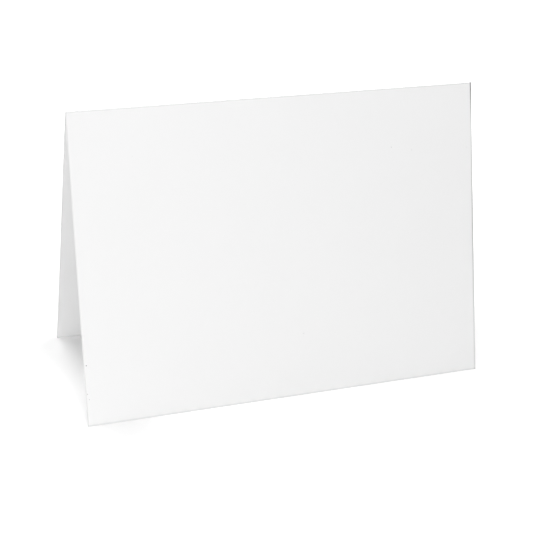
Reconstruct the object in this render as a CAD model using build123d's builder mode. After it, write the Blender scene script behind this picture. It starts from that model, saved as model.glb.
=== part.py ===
from build123d import *
import os
from math import cos, radians, sin

# A blank greeting card: one sheet of white card, scored across its middle, folded in two and stood
# up like a tent on its two cut edges. X runs along the fold, the front panel faces -Y, and Z is up
# from the surface that the card stands on. Sizes are in millimetres and angles in degrees.

# The sheet as it was cut, before folding
card_width = 177.8
flat_length = 260.35
stock = 0.35

# How it stands: each panel's lean from upright, and how far its middle is drawn in by the fold's pull
lean = 16.1
front_bow = 0.25
back_bow = 0.15

# The narrow flat that each cut edge is pressed to where it carries the card
foot_land = 0.12

# The fold, from its centre line to the panels' inner faces
bend_radius = 0.21

# The fold's outside: a rounded crown, set in from the panels' faces by the depth of the score, and
# how far down each panel the shoulder of the score reaches
score_depth = 0.06
score_reach = 0.22
crown_half_angle = 58

# The fold's inside: the bead that the score pushed up, and how far down each inner face it begins
bead_height = 0.18
bead_reach = 0.1

# The panels' two sides of the fold
front, back = -1, 1

# Distances from the fold's centre line
face_offset = bend_radius + stock
crown_radius = face_offset - score_depth
neutral_radius = bend_radius + stock / 2

# Half of the sheet is one panel and half of the turn round the fold
turn_length = neutral_radius * radians(90 - lean)
panel_straight = flat_length / 2 - turn_length

# The fold's centre line is as high as the panels carry it, less what the foot's flat takes off
land_depth = foot_land * sin(radians(lean)) * cos(radians(lean))
fold_height = panel_straight * cos(radians(lean)) - bend_radius * sin(radians(lean)) - land_depth
fold_centre = Vector(0, fold_height)


def panel_directions(side):
    """Up the panel and out of its outer face, in the card's section."""
    up = Vector(-side * sin(radians(lean)), cos(radians(lean)))
    out = Vector(side * cos(radians(lean)), sin(radians(lean)))
    return up, out


def crown_end(side):
    """Where the crown's arc meets the score on that side."""
    return fold_centre + Vector(
        side * crown_radius * sin(radians(crown_half_angle)),
        crown_radius * cos(radians(crown_half_angle)),
    )


def bead_end(side):
    """Where the bead meets the panel's inner face."""
    up, out = panel_directions(side)
    return fold_centre + out * bend_radius - up * bead_reach


def bowed_face(lower, upper, out, bow):
    """A panel's face from its foot to the fold, with its middle drawn in by the bow."""
    ThreePointArc(lower, (lower + upper) / 2 - out * bow, upper)


def panel_outline(side, bow):
    """One panel's shoulder, outer face, square cut edge, foot and inner face."""
    up, out = panel_directions(side)
    shoulder = fold_centre + out * face_offset - up * score_reach
    cut_inner = fold_centre + out * bend_radius - up * panel_straight
    cut_outer = cut_inner + out * stock
    land_outer = cut_inner + out * (land_depth / sin(radians(lean)))
    land_inner = cut_inner + up * (land_depth / cos(radians(lean)))
    Line(crown_end(side), shoulder)
    bowed_face(cut_outer, shoulder, out, bow)
    Line(cut_outer, land_outer)
    Line(land_outer, land_inner)
    bowed_face(land_inner, bead_end(side), out, bow)


def crown_outline():
    """The fold's outside, rounded over the top of the card."""
    CenterArc(fold_centre, crown_radius, 90 - crown_half_angle, 2 * crown_half_angle)


def bead_outline():
    """The fold's inside, rounded down between the two inner faces."""
    bead_bottom = Vector(0, bead_end(front).Y - bead_height)
    ThreePointArc(bead_end(front), bead_bottom, bead_end(back))


# The sheet is the same section all along the fold, with square cut ends
with BuildPart() as folded_card:
    with BuildSketch(Plane.YZ):
        with BuildLine():
            panel_outline(front, front_bow)
            crown_outline()
            panel_outline(back, back_bow)
            bead_outline()
        make_face()
    extrude(amount=card_width / 2, both=True)
folded_card.part.label = "folded_card"

os.makedirs("parts", exist_ok=True)
export_step(folded_card.part, "parts/folded_card.step")
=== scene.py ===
from math import atan2, cos, pi, radians, sin

import bmesh
import bpy
from mathutils import Matrix, Vector


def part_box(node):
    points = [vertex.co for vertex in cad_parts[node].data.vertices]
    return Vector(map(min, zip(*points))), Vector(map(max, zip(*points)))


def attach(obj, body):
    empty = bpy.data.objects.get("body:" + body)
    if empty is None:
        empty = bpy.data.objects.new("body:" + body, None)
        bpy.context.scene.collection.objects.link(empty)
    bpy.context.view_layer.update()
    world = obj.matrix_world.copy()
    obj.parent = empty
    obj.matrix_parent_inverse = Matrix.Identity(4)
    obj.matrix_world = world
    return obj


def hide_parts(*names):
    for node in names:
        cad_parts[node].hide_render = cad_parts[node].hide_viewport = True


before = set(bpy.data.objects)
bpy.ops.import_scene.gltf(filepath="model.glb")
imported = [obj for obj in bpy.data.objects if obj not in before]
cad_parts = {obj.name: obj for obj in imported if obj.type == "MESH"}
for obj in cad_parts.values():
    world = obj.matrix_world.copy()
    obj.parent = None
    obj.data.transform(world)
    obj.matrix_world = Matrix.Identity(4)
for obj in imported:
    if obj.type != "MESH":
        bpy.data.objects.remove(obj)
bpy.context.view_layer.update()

# The folded card: one sheet of smooth uncoated white card, 0.35 mm thick, scored across its middle
# on the outside and folded in two. A guillotine trimmed it, so its corners are square and its cut
# edges have the blade's slight roll. It stands on those edges, with the fold on top.

card_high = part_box("folded_card")[1]
half_width = card_high.x
stock = 0.00035
lean = radians(16.1)
bend_radius = 0.00021
score_depth = 0.00006
score_reach = 0.00022
crown_half_angle = radians(58)
bead_height = 0.00018
foot_land = 0.00012

crown_radius = bend_radius + stock - score_depth
fold_centre = Vector((0, 0, card_high.z - crown_radius))
land_depth = foot_land * sin(lean) * cos(lean)
panel_straight = (fold_centre.z + bend_radius * sin(lean) + land_depth) / cos(lean)

# The sheet is drawn edge-on at its left end, along its outer face: the crown is spun round the
# fold's centre, and from each end of it run the shoulder, a narrow strip that keeps the panel's
# shading flat up to the score, and the panel.
border = 0.0003
crown_steps = 14
sheet = bmesh.new()
crown_start = Vector(
    (-half_width, -crown_radius * sin(crown_half_angle), crown_radius * cos(crown_half_angle))
)
first = sheet.verts.new(fold_centre + crown_start)
bmesh.ops.spin(
    sheet,
    geom=[first],
    cent=fold_centre,
    axis=(1, 0, 0),
    angle=-2 * crown_half_angle,
    steps=crown_steps,
    use_duplicate=False,
)
crown_ends = sorted(sheet.verts, key=lambda vert: vert.co.y)
panel_lines = []
for side, crown_end in ((-1, crown_ends[0]), (1, crown_ends[-1])):
    up = Vector((0, -side * sin(lean), cos(lean)))
    out = Vector((0, side * cos(lean), sin(lean)))
    at_fold = fold_centre + out * (bend_radius + stock)
    at_fold.x = -half_width
    shoulder = sheet.verts.new(at_fold - up * score_reach)
    strip_end = sheet.verts.new(at_fold - up * (score_reach + border))
    foot = sheet.verts.new(at_fold - up * panel_straight)
    sheet.edges.new((crown_end, shoulder))
    sheet.edges.new((shoulder, strip_end))
    panel_lines.append(sheet.edges.new((strip_end, foot)))
panel_rows = 46
bmesh.ops.subdivide_edges(sheet, edges=panel_lines, cuts=panel_rows - 1)

# The line is drawn out along the fold to the card's width and divided into columns.
columns = 64
drawn_out = bmesh.ops.extrude_edge_only(sheet, edges=sheet.edges[:])["geom"]
far_verts = [item for item in drawn_out if isinstance(item, bmesh.types.BMVert)]
bmesh.ops.translate(sheet, verts=far_verts, vec=(2 * half_width, 0, 0))
across = [
    edge for edge in sheet.edges if abs(edge.verts[0].co.x - edge.verts[1].co.x) > half_width
]
bmesh.ops.subdivide_edges(sheet, edges=across, cuts=columns - 1, use_grid_fill=True)

# A border just as narrow is set off round the trimmed edges, where the sheet will be rolled over.
bmesh.ops.inset_region(
    sheet, faces=sheet.faces[:], thickness=border, use_boundary=True, use_even_offset=True
)

# The panels are drawn in by the fold's pull, the front one more at its left end than at its right.
# Each bow is a shallow arc: 4 * share * (1 - share) is 0 at the fold and foot, and 1 halfway down.
front_bow_left = 0.00045
front_bow_right = 0.00005
back_bow = 0.00015
for vert in sheet.verts:
    side = -1 if vert.co.y < 0 else 1
    up = Vector((0, -side * sin(lean), cos(lean)))
    out = Vector((0, side * cos(lean), sin(lean)))
    share_down = (fold_centre - vert.co).dot(up) / panel_straight
    share_across = (vert.co.x + half_width) / (2 * half_width)
    front_bow = front_bow_left + (front_bow_right - front_bow_left) * share_across
    bow = front_bow if side < 0 else back_bow
    share_down = min(max(share_down, 0), 1)
    vert.co -= out * (bow * 4 * share_down * (1 - share_down))

# The sheet gets its thickness inwards.
bmesh.ops.recalc_face_normals(sheet, faces=sheet.faces)
bmesh.ops.solidify(sheet, geom=sheet.faces[:], thickness=stock)

# Under the crown, the inner face is pushed down into the round bead that the score raised.
bead_reach = 0.0001
bead_half_width = bend_radius * cos(lean) + bead_reach * sin(lean)
bead_rise = bend_radius * sin(lean) - bead_reach * cos(lean)
for vert in sheet.verts:
    from_fold = vert.co - fold_centre
    from_fold.x = 0
    if from_fold.length < bend_radius and from_fold.z > 0:
        turned = (pi / 2) * from_fold.angle(Vector((0, 0, 1))) / crown_half_angle
        side = -1 if from_fold.y < 0 else 1
        vert.co.y = side * bead_half_width * sin(turned)
        vert.co.z = fold_centre.z + bead_rise - bead_height * cos(turned)

# The trimmed edges are rolled over, and each foot is pressed flat where it stands. A trimmed face
# looks out sideways or down, and its rims are the sharp edges round it.
edge_roll = 0.0001
roll_segments = 3
looks_out = 0.9
sharp = radians(60)
sheet.normal_update()
trimmed = {
    face
    for face in sheet.faces
    if abs(face.normal.x) > looks_out
    or (face.normal.z < -looks_out and face.calc_center_median().z < stock)
}
rims = [
    edge
    for edge in sheet.edges
    if any(face in trimmed for face in edge.link_faces) and edge.calc_face_angle() > sharp
]
bmesh.ops.bevel(
    sheet,
    geom=rims,
    offset=edge_roll,
    offset_type="OFFSET",
    affect="EDGES",
    segments=roll_segments,
    profile=0.5,
    material=-1,
    clamp_overlap=True,
)
for vert in sheet.verts:
    vert.co.z = max(vert.co.z, 0)

# Every point keeps its place on the flat sheet: across from the left edge, and along from the front
# foot, over the fold, to the back foot.
card_width = 2 * half_width
neutral_radius = bend_radius + stock / 2
quarter_turn = neutral_radius * (pi / 2 - lean)
flat_length = 2 * (panel_straight + quarter_turn)
fold_line = flat_length / 2
flat_sheet = sheet.loops.layers.uv.new("flat_sheet")
for face in sheet.faces:
    face.smooth = True
    for loop in face.loops:
        from_fold = loop.vert.co - fold_centre
        side = -1 if from_fold.y < 0 else 1
        down = side * from_fold.y * sin(lean) - from_fold.z * cos(lean)
        if down > 0:
            from_middle = quarter_turn + down
        else:
            from_middle = neutral_radius * atan2(abs(from_fold.y), from_fold.z)
        loop[flat_sheet].uv = (loop.vert.co.x + half_width, fold_line + side * from_middle)

card_mesh = bpy.data.meshes.new("greeting_card")
sheet.to_mesh(card_mesh)
sheet.free()
greeting_card = bpy.data.objects.new("greeting_card", card_mesh)
bpy.context.scene.collection.objects.link(greeting_card)
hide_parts("folded_card")
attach(greeting_card, "root")

# The card's surface is smooth wood pulp: faint clouds where the fibres lie thicker, and a fine
# tooth. Each is a noise with its own size, detail and distortion.
paper_grain = bpy.data.node_groups.new("paper_grain", "ShaderNodeTree")
for name, kind in (("Place", "Vector"), ("Cloud Size", "Float"), ("Fibre Size", "Float")):
    paper_grain.interface.new_socket(name, in_out="INPUT", socket_type="NodeSocket" + kind)
for name in ("Cloud", "Height"):
    paper_grain.interface.new_socket(name, in_out="OUTPUT", socket_type="NodeSocketFloat")
nodes = paper_grain.nodes
links = paper_grain.links
given = nodes.new("NodeGroupInput")
made = nodes.new("NodeGroupOutput")
for size_name, result, detail, distortion in (
    ("Cloud Size", "Cloud", 4, 0.6),
    ("Fibre Size", "Height", 3, 2.5),
):
    scale = nodes.new("ShaderNodeMath")
    scale.operation = "DIVIDE"
    scale.inputs[0].default_value = 1
    noise = nodes.new("ShaderNodeTexNoise")
    noise.inputs["Detail"].default_value = detail
    noise.inputs["Distortion"].default_value = distortion
    links.new(given.outputs[size_name], scale.inputs[1])
    links.new(given.outputs["Place"], noise.inputs["Vector"])
    links.new(scale.outputs["Value"], noise.inputs["Scale"])
    links.new(noise.outputs["Fac"], made.inputs[result])

# A shade band is painted shade in a band along an edge or the fold, even over its core and soft
# from there to its reach.
shade_band = bpy.data.node_groups.new("shade_band", "ShaderNodeTree")
for name in ("Measured", "Line", "Core", "Reach"):
    shade_band.interface.new_socket(name, in_out="INPUT", socket_type="NodeSocketFloat")
shade_band.interface.new_socket("Mask", in_out="OUTPUT", socket_type="NodeSocketFloat")
nodes = shade_band.nodes
links = shade_band.links
given = nodes.new("NodeGroupInput")
made = nodes.new("NodeGroupOutput")
offset = nodes.new("ShaderNodeMath")
offset.operation = "SUBTRACT"
distance = nodes.new("ShaderNodeMath")
distance.operation = "ABSOLUTE"
band = nodes.new("ShaderNodeMapRange")
band.interpolation_type = "SMOOTHSTEP"
band.inputs["To Min"].default_value = 1
band.inputs["To Max"].default_value = 0
links.new(given.outputs["Measured"], offset.inputs[0])
links.new(given.outputs["Line"], offset.inputs[1])
links.new(offset.outputs["Value"], distance.inputs[0])
links.new(distance.outputs["Value"], band.inputs["Value"])
links.new(given.outputs["Core"], band.inputs["From Min"])
links.new(given.outputs["Reach"], band.inputs["From Max"])
links.new(band.outputs["Result"], made.inputs["Mask"])

# A spot is a soft round patch: a fleck of dust, or how far a stretch of painted shade runs
# along its edge.
spot = bpy.data.node_groups.new("spot", "ShaderNodeTree")
for name, kind in (("Place", "Vector"), ("Centre", "Vector"), ("Radius", "Float")):
    spot.interface.new_socket(name, in_out="INPUT", socket_type="NodeSocket" + kind)
spot.interface.new_socket("Mask", in_out="OUTPUT", socket_type="NodeSocketFloat")
nodes = spot.nodes
links = spot.links
given = nodes.new("NodeGroupInput")
made = nodes.new("NodeGroupOutput")
distance = nodes.new("ShaderNodeVectorMath")
distance.operation = "DISTANCE"
patch = nodes.new("ShaderNodeMapRange")
patch.interpolation_type = "SMOOTHSTEP"
patch.inputs["To Min"].default_value = 1
patch.inputs["To Max"].default_value = 0
links.new(given.outputs["Place"], distance.inputs[0])
links.new(given.outputs["Centre"], distance.inputs[1])
links.new(distance.outputs["Value"], patch.inputs["Value"])
links.new(given.outputs["Radius"], patch.inputs["From Max"])
links.new(patch.outputs["Result"], made.inputs["Mask"])

# The card stock: its white, the grey of the painted shade and dust on it, its gloss, the size of
# its clouds and fibres, how far a cloud greys it, its roughness from the least to the most, and the
# height of its tooth.
card_white = (0.9, 0.9, 0.9, 1)
shade_and_dust_grey = (0.2, 0.2, 0.2, 1)
card_specular = 0.25
cloud_size = 0.004
fibre_size = 0.0006
cloud_grey = 0.002
least_rough = 0.8
most_rough = 0.92
tooth_height = 0.000003
card_stock = bpy.data.materials.new("card_stock")
card_stock.use_nodes = True
nodes = card_stock.node_tree.nodes
links = card_stock.node_tree.links
surface = nodes["Principled BSDF"]
surface.inputs["Specular IOR Level"].default_value = card_specular
card_mesh.materials.append(card_stock)

sheet_place = nodes.new("ShaderNodeUVMap")
sheet_place.uv_map = "flat_sheet"
measured = nodes.new("ShaderNodeSeparateXYZ")
links.new(sheet_place.outputs["UV"], measured.inputs["Vector"])

# Painted shade: each trimmed edge is darkened in a narrow band, the right one most, and the fold
# is darkened a little. Each line has the direction it is measured in, its place, its reach and its
# depth.
shade_and_dust = None
core_share = 0.55
shade_bands = {
    "left_edge": ("X", 0, 0.0005, 0.09),
    "right_edge": ("X", card_width, 0.0009, 0.22),
    "front_foot": ("Y", 0, 0.0009, 0.14),
    "back_foot": ("Y", flat_length, 0.0009, 0.02),
    "fold": ("Y", fold_line, 0.0009, 0.12),
}
for name, (axis, line, reach, depth) in shade_bands.items():
    edge_shade = nodes.new("ShaderNodeGroup")
    edge_shade.node_tree = shade_band
    edge_shade.name = name
    edge_shade.inputs["Line"].default_value = line
    edge_shade.inputs["Core"].default_value = reach * core_share
    edge_shade.inputs["Reach"].default_value = reach
    links.new(measured.outputs[axis], edge_shade.inputs["Measured"])
    added = nodes.new("ShaderNodeMath")
    added.operation = "MULTIPLY_ADD"
    added.inputs[1].default_value = depth
    added.inputs[2].default_value = 0
    links.new(edge_shade.outputs["Mask"], added.inputs[0])
    if shade_and_dust:
        links.new(shade_and_dust, added.inputs[2])
    shade_and_dust = added.outputs["Value"]

# Three stretches get more painted shade: the fold's right-hand end, the middle of the front's right
# edge, and the corner of its left foot. Each has its edge, its place across and along the sheet,
# its half length and its depth.
stretches = {
    "fold_end_shade": ("right_edge", card_width, fold_line, 0.022, 0.62),
    "right_middle_shade": ("right_edge", card_width, fold_line / 2, 0.05, 0.27),
    "left_foot_shade": ("left_edge", 0, 0, 0.026, 0.06),
}
for name, (edge_name, across, along, half_length, depth) in stretches.items():
    stretch = nodes.new("ShaderNodeGroup")
    stretch.node_tree = spot
    stretch.name = name
    stretch.inputs["Centre"].default_value = (across, along, 0)
    stretch.inputs["Radius"].default_value = half_length
    on_edge = nodes.new("ShaderNodeMath")
    on_edge.operation = "MULTIPLY"
    added = nodes.new("ShaderNodeMath")
    added.operation = "MULTIPLY_ADD"
    added.inputs[1].default_value = depth
    links.new(sheet_place.outputs["UV"], stretch.inputs["Place"])
    links.new(stretch.outputs["Mask"], on_edge.inputs[0])
    links.new(nodes[edge_name].outputs["Mask"], on_edge.inputs[1])
    links.new(on_edge.outputs["Value"], added.inputs[0])
    links.new(shade_and_dust, added.inputs[2])
    shade_and_dust = added.outputs["Value"]

# Flecks of dust on the front: how far across and up the panel each lies, its radius and its depth.
flecks = (
    (0.1392, 0.1047, 0.00024, 0.8),
    (0.0957, 0.0274, 0.00024, 0.8),
    (0.0014, 0.0115, 0.00022, 0.8),
    (0.1487, 0.1027, 0.00020, 0.7),
    (0.0011, 0.0260, 0.00038, 1.0),
    (0.0008, 0.0139, 0.00026, 0.9),
    (0.1751, 0.1018, 0.00018, 0.6),
    (0.0258, 0.1103, 0.00014, 0.5),
)
for across, up_panel, radius, depth in flecks:
    fleck = nodes.new("ShaderNodeGroup")
    fleck.node_tree = spot
    fleck.inputs["Centre"].default_value = (across, up_panel, 0)
    fleck.inputs["Radius"].default_value = radius
    added = nodes.new("ShaderNodeMath")
    added.operation = "MULTIPLY_ADD"
    added.use_clamp = True
    added.inputs[1].default_value = depth
    links.new(sheet_place.outputs["UV"], fleck.inputs["Place"])
    links.new(fleck.outputs["Mask"], added.inputs[0])
    links.new(shade_and_dust, added.inputs[2])
    shade_and_dust = added.outputs["Value"]

grain = nodes.new("ShaderNodeGroup")
grain.node_tree = paper_grain
grain.inputs["Cloud Size"].default_value = cloud_size
grain.inputs["Fibre Size"].default_value = fibre_size
on_card = nodes.new("ShaderNodeTexCoord")
links.new(on_card.outputs["Object"], grain.inputs["Place"])

clouds = nodes.new("ShaderNodeMapRange")
clouds.inputs["To Min"].default_value = cloud_grey
clouds.inputs["To Max"].default_value = 0
links.new(grain.outputs["Cloud"], clouds.inputs["Value"])
# The clouds, the painted shade along the edges and the fold, and the dust flecks grey the white.
greyed = nodes.new("ShaderNodeMath")
greyed.operation = "ADD"
greyed.use_clamp = True
links.new(clouds.outputs["Result"], greyed.inputs[0])
links.new(shade_and_dust, greyed.inputs[1])
colour = nodes.new("ShaderNodeMix")
colour.data_type = "RGBA"
colour.inputs["A"].default_value = card_white
colour.inputs["B"].default_value = shade_and_dust_grey
links.new(greyed.outputs["Value"], colour.inputs["Factor"])
links.new(colour.outputs["Result"], surface.inputs["Base Color"])

matt = nodes.new("ShaderNodeMapRange")
matt.inputs["To Min"].default_value = least_rough
matt.inputs["To Max"].default_value = most_rough
links.new(grain.outputs["Cloud"], matt.inputs["Value"])
links.new(matt.outputs["Result"], surface.inputs["Roughness"])

tooth = nodes.new("ShaderNodeBump")
tooth.inputs["Strength"].default_value = 1
tooth.inputs["Distance"].default_value = tooth_height
links.new(grain.outputs["Height"], tooth.inputs["Height"])
links.new(tooth.outputs["Normal"], surface.inputs["Normal"])

# The table: a plain white matt surface that keeps the card's shadow. To the camera it glows with
# painted light, lifted outwards from the shadow's two cores, a line under the back panel and a spot
# before the front's left foot: at first just enough to leave the deeper shadow, and further out to
# the room's white.

floor_size = 6
floor_colour = (0.95, 0.95, 0.95, 1)
core_left_end = (-0.073, 0.023, 0)
core_right_end_x = 0.04
core_radius = 0.008
core_lift = 0.043
near_radius = 0.037
foot_core = (-0.075, -0.041, 0)
foot_core_radius = 0.004
foot_core_lift = 0.046
foot_near_radius = 0.024
near_lift = 0.215
room_from_radius = 0.13
room_radius = 0.4
room_lift = 1
slab = bmesh.new()
bmesh.ops.create_grid(slab, x_segments=1, y_segments=1, size=floor_size / 2)
floor_mesh = bpy.data.meshes.new("floor")
slab.to_mesh(floor_mesh)
slab.free()
floor = bpy.data.objects.new("floor", floor_mesh)
bpy.context.scene.collection.objects.link(floor)

table_white = bpy.data.materials.new("table_white")
table_white.use_nodes = True
nodes = table_white.node_tree.nodes
links = table_white.node_tree.links
nodes.clear()
output = nodes.new("ShaderNodeOutputMaterial")
matt_surface = nodes.new("ShaderNodeBsdfDiffuse")
matt_surface.inputs["Color"].default_value = floor_colour
glow = nodes.new("ShaderNodeEmission")
on_floor = nodes.new("ShaderNodeTexCoord")
floor_place = nodes.new("ShaderNodeSeparateXYZ")
along_core = nodes.new("ShaderNodeClamp")
along_core.inputs["Min"].default_value = core_left_end[0]
along_core.inputs["Max"].default_value = core_right_end_x
on_core = nodes.new("ShaderNodeCombineXYZ")
on_core.inputs["Y"].default_value = core_left_end[1]
from_core = nodes.new("ShaderNodeVectorMath")
from_core.operation = "DISTANCE"
from_left_end = nodes.new("ShaderNodeVectorMath")
from_left_end.operation = "DISTANCE"
from_left_end.inputs[1].default_value = core_left_end
lifted = nodes.new("ShaderNodeMapRange")
lifted.interpolation_type = "SMOOTHSTEP"
lifted.inputs["From Min"].default_value = core_radius
lifted.inputs["From Max"].default_value = near_radius
lifted.inputs["To Min"].default_value = core_lift
lifted.inputs["To Max"].default_value = near_lift
from_foot = nodes.new("ShaderNodeVectorMath")
from_foot.operation = "DISTANCE"
from_foot.inputs[1].default_value = foot_core
foot_lifted = nodes.new("ShaderNodeMapRange")
foot_lifted.interpolation_type = "SMOOTHSTEP"
foot_lifted.inputs["From Min"].default_value = foot_core_radius
foot_lifted.inputs["From Max"].default_value = foot_near_radius
foot_lifted.inputs["To Min"].default_value = foot_core_lift
foot_lifted.inputs["To Max"].default_value = near_lift
lower = nodes.new("ShaderNodeMath")
lower.operation = "MINIMUM"
whitened = nodes.new("ShaderNodeMapRange")
whitened.interpolation_type = "SMOOTHSTEP"
whitened.inputs["From Min"].default_value = room_from_radius
whitened.inputs["From Max"].default_value = room_radius
whitened.inputs["To Max"].default_value = room_lift
seen = nodes.new("ShaderNodeLightPath")
lift = nodes.new("ShaderNodeMath")
lift.operation = "MULTIPLY"
both = nodes.new("ShaderNodeAddShader")
links.new(on_floor.outputs["Object"], floor_place.inputs["Vector"])
links.new(floor_place.outputs["X"], along_core.inputs["Value"])
links.new(along_core.outputs["Result"], on_core.inputs["X"])
links.new(on_floor.outputs["Object"], from_core.inputs[0])
links.new(on_core.outputs["Vector"], from_core.inputs[1])
links.new(on_floor.outputs["Object"], from_left_end.inputs[0])
links.new(from_core.outputs["Value"], lifted.inputs["Value"])
links.new(on_floor.outputs["Object"], from_foot.inputs[0])
links.new(from_foot.outputs["Value"], foot_lifted.inputs["Value"])
links.new(lifted.outputs["Result"], lower.inputs[0])
links.new(foot_lifted.outputs["Result"], lower.inputs[1])
links.new(from_left_end.outputs["Value"], whitened.inputs["Value"])
links.new(lower.outputs["Value"], whitened.inputs["To Min"])
links.new(seen.outputs["Is Camera Ray"], lift.inputs[0])
links.new(whitened.outputs["Result"], lift.inputs[1])
links.new(lift.outputs["Value"], glow.inputs["Strength"])
links.new(matt_surface.outputs["BSDF"], both.inputs[0])
links.new(glow.outputs["Emission"], both.inputs[1])
links.new(both.outputs["Shader"], output.inputs["Surface"])
floor_mesh.materials.append(table_white)

# The studio: soft square lamps stand round the card, and the room behind it is plain white, seen
# only by the camera, so that it adds no light.

room_white = (1, 1, 1, 1)
world = bpy.data.worlds.new("studio")
bpy.context.scene.world = world
world.use_nodes = True
nodes = world.node_tree.nodes
links = world.node_tree.links
nodes.clear()
output = nodes.new("ShaderNodeOutputWorld")
room = nodes.new("ShaderNodeBackground")
room.inputs["Color"].default_value = room_white
seen = nodes.new("ShaderNodeLightPath")
links.new(seen.outputs["Is Camera Ray"], room.inputs["Strength"])
links.new(room.outputs["Background"], output.inputs["Surface"])

# Each lamp's bearing from straight in front, turning to the card's right, then its height above the
# table as an angle, its distance and size in metres, and its power in watts.
lit_point = Vector((0, 0, 0.06))
lamps = {
    "front_softbox": (0, 66, 1.1, 0.6, 7.05),
    "low_left_softbox": (330, 8, 1.1, 0.25, 4.78),
    "back_left_softbox": (225, 55, 0.55, 0.35, 1.8),
    "back_right_softbox": (120, 12, 0.55, 0.18, 1.3),
}
for name, (bearing, height, distance, size, power) in lamps.items():
    bearing = radians(bearing)
    height = radians(height)
    towards = Vector((sin(bearing) * cos(height), -cos(bearing) * cos(height), sin(height)))
    light = bpy.data.lights.new(name, "AREA")
    light.shape = "SQUARE"
    light.size = size
    light.energy = power
    lamp = bpy.data.objects.new(name, light)
    lamp.location = lit_point + towards * distance
    lamp.rotation_euler = (-towards).to_track_quat("-Z", "Y").to_euler()
    lamp.visible_camera = False
    bpy.context.scene.collection.objects.link(lamp)

# The camera: a long lens in front of the card, to its left and above, held slightly out of level.
# Its frame is shifted by a tenth of the picture, and its focal length is in pixels of that picture.

image_side = 533
focal_length_px = 1266.0
sensor_width = 36
camera_place = (-0.16954, -0.46558, 0.30717)
camera_yaw = radians(19.723)
camera_pitch = radians(25.491)
camera_roll = radians(2.914)
camera_shift = -0.1
camera_data = bpy.data.cameras.new("camera")
camera_data.sensor_width = sensor_width
camera_data.lens = focal_length_px / image_side * sensor_width
camera_data.shift_y = camera_shift
camera = bpy.data.objects.new("camera", camera_data)
camera.matrix_world = (
    Matrix.Translation(camera_place)
    @ Matrix.Rotation(-camera_yaw, 4, "Z")
    @ Matrix.Rotation(-camera_pitch, 4, "X")
    @ Matrix.Rotation(-camera_roll, 4, "Y")
    @ Matrix.Rotation(pi / 2, 4, "X")
)
bpy.context.scene.collection.objects.link(camera)
bpy.context.scene.camera = camera
bpy.context.scene.view_settings.view_transform = "Standard"
